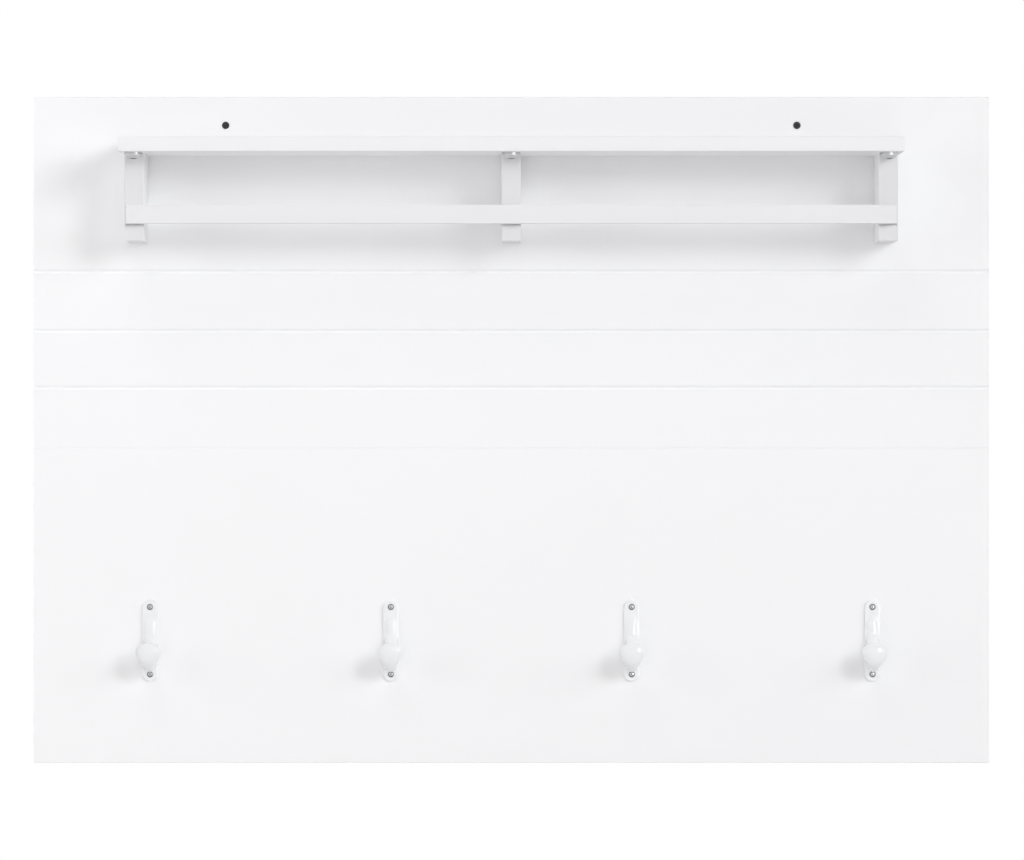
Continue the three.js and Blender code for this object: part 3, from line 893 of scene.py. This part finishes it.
def cutGrooves(bm, front):
    looks = panelLooks
    for drop in looks["grooves"]:
        middle = panelTop - drop
        for offset in (-looks["grooveWidth"] / 2, 0, looks["grooveWidth"] / 2):
            bmesh.ops.bisect_plane(bm, geom=[*bm.verts, *bm.edges, *bm.faces],
                                   plane_co=(0, 0, middle + offset), plane_no=axisZ)
        bottom = [vert for vert in bm.verts if near(vert.co.z, middle) and near(vert.co.y, front)]
        bmesh.ops.translate(bm, vec=(0, looks["grooveDepth"], 0), verts=bottom)
    bmesh.ops.dissolve_limit(bm, angle_limit=0.01, verts=bm.verts, edges=bm.edges)


def addBoards():
    looks = panelLooks
    seamAbove, seamBelow = looks["seamEases"]
    for node, footEase, topEase in (("upper_board", seamAbove, looks["edgeEase"]),
                                    ("lower_board", looks["edgeEase"], seamBelow)):
        low, high = cornersOf(node)
        if node == "upper_board":
            low.z -= looks["seamDraw"]
        bm = bmesh.new()
        addBlock(bm, low, high)
        if node == "upper_board":
            cutGrooves(bm, low.y)
        for height, ease in ((low.z, footEase), (high.z, topEase)):
            front = sharpEdges(bm, lambda middle, along: (
                abs(along.x) > 0.5 and near(middle.y, low.y) and near(middle.z, height)))
            roundEdges(bm, front, ease)
        grooved = sharpEdges(bm, lambda middle, along: (
            abs(along.x) > 0.5 and low.z + looks["clear"] < middle.z < high.z - looks["clear"]))
        roundEdges(bm, grooved, looks["grooveEase"])
        ends = sharpEdges(bm, lambda middle, along: (
            near(abs(middle.x), high.x) and not near(middle.y, high.y) and abs(along.y) < 0.9))
        roundEdges(bm, ends, looks["endEase"], 2)
        back = sharpEdges(bm, lambda middle, along: near(middle.y, high.y), squareOnly)
        roundEdges(bm, back, looks["backEase"], 2)
        drill(bm, node)
        finishPiece(bm, node, panelLacquer)
    print("panel boards are made")


battenLooks = {"ease": 1.2, "endEase": 0.5}


def addBattens():
    for node in nodesNamed("batten_"):
        if "screw" in node:
            continue
        bm = bmesh.new()
        addBlock(bm, *cornersOf(node))
        roundEdges(bm, sharpEdges(bm, upright), battenLooks["ease"])
        roundEdges(bm, sharpEdges(bm, level, squareOnly), battenLooks["endEase"], 2)
        drill(bm, node)
        finishPiece(bm, node, pine)
    print("battens are made")


# Shelf, posts, rail and plates

shelfLooks = {"cornerRadius": 1.4, "ease": 0.6}
postLooks = {
    "ease": 1.0,
    "endEase": 0.9,
    "housingGap": 0.3,
    "housingDepth": 2,
    "housingCorner": 3,
    "jointOpen": 1.5,      # slot left open under the rail and beside its ends
    "jointDepth": 1.7,
    "jointUnder": 1.2,     # how far the slot runs in behind the rail
}
railLooks = {"ease": 1.0}
plateLooks = {"width": 16, "corner": 1.2, "burr": 0.3, "eyeSteps": 64}


def addShelf():
    node = "shelf_board"
    low, high = cornersOf(node)
    bm = bmesh.new()
    addBlock(bm, low, high)
    corners = sharpEdges(bm, lambda middle, along: upright(middle, along) and near(middle.y, low.y))
    roundEdges(bm, corners, shelfLooks["cornerRadius"], 6)
    rims = sharpEdges(bm, lambda middle, along: (
        level(middle, along) and not near(middle.y, high.y)), squareOnly)
    roundEdges(bm, rims, shelfLooks["ease"])
    drill(bm, node)
    finishPiece(bm, node, shelfLacquer)


def railJoint(low, high):
    # The open slot in a post's face: one strip under the rail, and one beside its end on the outer posts
    looks = postLooks
    railLow, railHigh = cornersOf("hanging_rail")
    front = low.y - overshoot
    deep = low.y + looks["jointDepth"]
    under = looks["jointUnder"]
    left = max(low.x - overshoot, railLow.x - looks["jointOpen"] / 2)
    right = min(high.x + overshoot, railHigh.x + looks["jointOpen"] / 2)
    foot = railLow.z - looks["jointOpen"]
    strips = [(Vector((left, front, foot)), Vector((right, deep, railLow.z + under)))]
    if left > low.x:
        strips.append((Vector((left, front, foot)), Vector((railLow.x + under, deep, railHigh.z))))
    if right < high.x:
        strips.append((Vector((railHigh.x - under, front, foot)), Vector((right, deep, railHigh.z))))
    return strips


def addPosts():
    looks = postLooks
    for side in ("left", "centre", "right"):
        node = "post_" + side
        low, high = cornersOf(node)
        halfHousing = plateLooks["width"] / 2 + looks["housingGap"]
        housingEnd = cornersOf("top_plate_" + side)[1].y + looks["housingGap"]
        centre = (low.x + high.x) / 2
        bm = bmesh.new()
        addBlock(bm, low, high)
        roundEdges(bm, sharpEdges(bm, upright), looks["ease"])
        foot = sharpEdges(bm, lambda middle, along: near(middle.z, low.z), squareOnly)
        roundEdges(bm, foot, looks["endEase"])
        housing = bmesh.new()
        addBlock(housing, Vector((centre - halfHousing, low.y - overshoot, high.z - looks["housingDepth"])),
                 Vector((centre + halfHousing, housingEnd, high.z + overshoot)))
        ends = sharpEdges(housing, lambda middle, along: upright(middle, along) and middle.y > low.y)
        roundEdges(housing, ends, looks["housingCorner"], 5)
        carve(bm, housing)
        for slotLow, slotHigh in railJoint(low, high):
            slot = bmesh.new()
            addBlock(slot, slotLow, slotHigh)
            carve(bm, slot)
        drill(bm, node)
        finishPiece(bm, node, postLacquer)


def addRail():
    node = "hanging_rail"
    bm = bmesh.new()
    addBlock(bm, *cornersOf(node))
    roundEdges(bm, sharpEdges(bm), railLooks["ease"])
    drill(bm, node)
    finishPiece(bm, node, railLacquer)


def addTopPlates():
    # A strap let into the post with a round eye in front of it, under the shelf board
    looks = plateLooks
    for node in nodesNamed("top_plate_"):
        low, high = cornersOf(node)
        centre = (low.x + high.x) / 2
        radius = (high.x - low.x) / 2
        thickness = high.z - low.z
        bm = bmesh.new()
        addBlock(bm, Vector((centre - looks["width"] / 2, low.y + radius, low.z)),
                 Vector((centre + looks["width"] / 2, high.y, high.z)))
        square = sharpEdges(bm, lambda middle, along: upright(middle, along) and near(middle.y, high.y))
        roundEdges(bm, square, looks["corner"])
        eye = bmesh.new()
        bmesh.ops.create_cone(eye, cap_ends=True, segments=looks["eyeSteps"], radius1=radius, radius2=radius,
                              depth=thickness)
        bmesh.ops.translate(eye, vec=(centre, low.y + radius, (low.z + high.z) / 2), verts=eye.verts)
        carve(bm, eye, "UNION")
        roundEdges(bm, sharpEdges(bm, level, squareOnly), looks["burr"], 2)
        drill(bm, node)
        finishPiece(bm, node, strip)


# Hooks

hookLooks = {              # drawn with the back of the plate on Y = 0 and the middle on Z = 0
    "plateWidth": 16,
    "plateThickness": 3,
    "plateEase": 0.9,
    "plateSteps": 16,      # in a corner of its round ends
    "behind": 2,           # how far the plate is drawn behind its back, and cut off again
    "root": 0.6,           # the arm's middle line from the panel, along the plate
    "top": 29,             # its upper end on the plate
    "leave": 8,            # where it leaves the plate
    "throat": 9.5,         # its middle line from the panel, behind the cradle
    "bottom": 28.7,        # its lowest point
    "reach": 35.5,         # the tip's middle line from the panel
    "cradleTurn": 0.93,    # of a half circle
    "tipDrop": 1.2,
    "tipLean": 1,
    "strap": (14.5, 8.8),  # width and thickness of the arm along the plate
    "strapFade": 12,       # length over which the strap grows from half its thickness to the whole
    "neck": (10, 6.5),     # and in the cradle
    "neckRun": 26,         # length over which the strap narrows to the neck
    "tipWidth": 25.8,
    "tipThickness": 9.8,
    "tipRun": 9.5,         # length of the tip's round end
    "tipLeft": 0.05,       # how far the last section stands before the very end
    "flareRun": 31,        # where the arm starts to widen, before the tip's end
    "skin": 0.15,          # grown by this much, which the smoothing takes off again
    "strapSteps": 8,       # points of the arm's middle line, in each of its parts
    "leaveSteps": 30,
    "cradleSteps": 24,
    "tipSteps": 6,
    "sides": 40,
    "rings": 64,
    "voxel": 0.42,
    "smoothings": 9,
    "smoothShare": 0.5,
}


def armLine():
    # Distance from the panel and height along the arm: down the plate, an S off it, a cradle, a leaning tip
    looks = hookLooks
    radius = (looks["reach"] - looks["throat"]) / 2
    centreOut = (looks["reach"] + looks["throat"]) / 2
    centreUp = radius - looks["bottom"]
    upper = Vector((looks["root"], looks["top"]))
    lower = Vector((looks["root"], looks["leave"]))
    strap = [upper.lerp(lower, step / looks["strapSteps"]) for step in range(looks["strapSteps"])]
    descent = interpolate_bezier(
        lower,
        Vector((looks["root"], 0)),
        Vector((looks["throat"], 0)),
        Vector((looks["throat"], centreUp)), looks["leaveSteps"])
    turns = [math.pi * (1 + looks["cradleTurn"] * step / looks["cradleSteps"])
             for step in range(1, looks["cradleSteps"] + 1)]
    cradle = [Vector((centreOut + radius * math.cos(turn), centreUp + radius * math.sin(turn)))
              for turn in turns]
    tip = Vector((looks["reach"] + looks["tipLean"], -looks["tipDrop"]))
    straight = [cradle[-1].lerp(tip, step / looks["tipSteps"]) for step in range(1, looks["tipSteps"] + 1)]
    return [Vector((0, -point[0], point[1])) for point in [*strap, *descent, *cradle, *straight]]


def placeOn(line, share):
    # Point and direction a share of the way along a line
    lengths = [(b - a).length for a, b in zip(line, line[1:])]
    left = share * sum(lengths)
    index = 0
    while left > lengths[index] and index < len(lengths) - 1:
        left -= lengths[index]
        index += 1
    a, b = line[index], line[index + 1]
    before = line[max(index - 1, 0)]
    after = line[min(index + 2, len(line) - 1)]
    part = min(left / lengths[index], 1.0)
    direction = (b - before).lerp(after - a, part).normalized()
    return a.lerp(b, part), direction


def rounded(left, run):
    # How much of the full size is left this close to a round end
    return math.sqrt(1 - (1 - left / run) ** 2) if left < run else 1.0


def eased(value, start, end):
    share = min(max((value - start) / (end - start), 0), 1)
    return share * share * (3 - 2 * share)


def armSection(line, total, share):
    # Matrix that turns a unit circle into the arm's section at this share of its length
    looks = hookLooks
    gone = share * total
    left = total - gone + looks["tipLeft"]
    onPlate = looks["top"] - looks["leave"]
    fade = (1 + eased(gone, 0, looks["strapFade"])) / 2
    strap = Vector((looks["strap"][0], looks["strap"][1] * fade))
    arm = strap.lerp(Vector(looks["neck"]), eased(gone, onPlate, onPlate + looks["neckRun"]))
    tip = Vector((looks["tipWidth"], looks["tipThickness"]))
    width, thickness = tip.lerp(arm, eased(left, looks["tipRun"], looks["flareRun"]))
    end = rounded(left, looks["tipRun"])
    halfWidth = (width / 2 + looks["skin"]) * end
    halfThickness = (thickness / 2 + looks["skin"]) * end
    point, direction = placeOn(line, share)
    outward = direction.cross(axisX)
    turn = Matrix((axisX, outward, direction)).transposed().to_4x4()
    return Matrix.Translation(point) @ turn @ Matrix.Diagonal((halfWidth, halfThickness, 1, 1))


def addArm(bm):
    looks = hookLooks
    line = armLine()
    total = sum((b - a).length for a, b in zip(line, line[1:]))
    shares = [math.sin(math.pi / 2 * ring / looks["rings"]) for ring in range(looks["rings"] + 1)]
    before = armSection(line, total, shares[0])
    bmesh.ops.create_circle(bm, radius=1, segments=looks["sides"], matrix=before)
    rim = bm.edges[:]
    for share in shares[1:]:
        section = armSection(line, total, share)
        made = bmesh.ops.extrude_edge_only(bm, edges=rim)["geom"]
        verts = [item for item in made if isinstance(item, bmesh.types.BMVert)]
        rim = [edge for edge in bm.edges
               if edge.is_boundary and edge.verts[0] in verts and edge.verts[1] in verts]
        bmesh.ops.transform(bm, matrix=section @ before.inverted(), verts=verts)
        before = section
    closeHoles(bm)


def addHookPlate(bm, height):
    looks = hookLooks
    skin = looks["skin"]
    width = looks["plateWidth"]
    low = Vector((-width / 2 - skin, -looks["plateThickness"] - skin, -height / 2 - skin))
    high = Vector((width / 2 + skin, looks["behind"], height / 2 + skin))
    addBlock(bm, low, high)
    corners = sharpEdges(bm, lambda middle, along: abs(along.y) > 0.5)
    roundEdges(bm, corners, width / 2 + skin - 0.01, looks["plateSteps"])
    bmesh.ops.remove_doubles(bm, verts=bm.verts, dist=0.05)
    front = sharpEdges(bm, lambda middle, along: near(middle.y, low.y), squareOnly)
    roundEdges(bm, front, looks["plateEase"])


def hookCasting(screws, height):
    looks = hookLooks
    bm = bmesh.new()
    addHookPlate(bm, height)
    arm = bmesh.new()
    addArm(arm)
    carve(bm, arm, "UNION")
    applied(bm, "REMESH", {"mode": "VOXEL", "voxel_size": looks["voxel"]})
    for smoothing in range(looks["smoothings"]):
        bmesh.ops.smooth_vert(bm, verts=bm.verts, factor=looks["smoothShare"],
                              use_axis_x=True, use_axis_y=True, use_axis_z=True)
    geometry = [*bm.verts, *bm.edges, *bm.faces]
    bmesh.ops.bisect_plane(bm, geom=geometry, plane_co=(0, 0, 0), plane_no=axisY, clear_outer=True)
    closeHoles(bm)
    for screw, at in screws:
        hole = bmesh.new()
        addLathed(hole, holeOutline(screw), screwLooks["steps"])
        hole.transform(aimed(at, axisY))
        carve(bm, hole)
    return bm


def addHooks():
    names = [name for name in nodesNamed("hook_") if "screw" not in name]
    low, high = cornersOf(names[0])
    middle = Vector(((low.x + high.x) / 2, high.y, (low.z + high.z) / 2))
    screws = [(fasteners[name], fasteners[name]["at"] - middle) for name in nodesNamed("hook_screw_1_")]
    casting = objectOf(hookCasting(screws, high.z - low.z), "casting")
    for node in names:
        low, high = cornersOf(node)
        bm = bmesh.new()
        bm.from_mesh(casting.data)
        bmesh.ops.translate(bm, vec=((low.x + high.x) / 2, high.y, (low.z + high.z) / 2), verts=bm.verts)
        finishPiece(bm, node, enamel)
    print("hooks:", len(names), "of", len(casting.data.polygons), "faces")
    bpy.data.objects.remove(casting)


addBoards()
addBattens()
addShelf()
addPosts()
addRail()
addTopPlates()
print("shelf, posts, rail and plates are made")
addHooks()
addScrews()
addDowels()
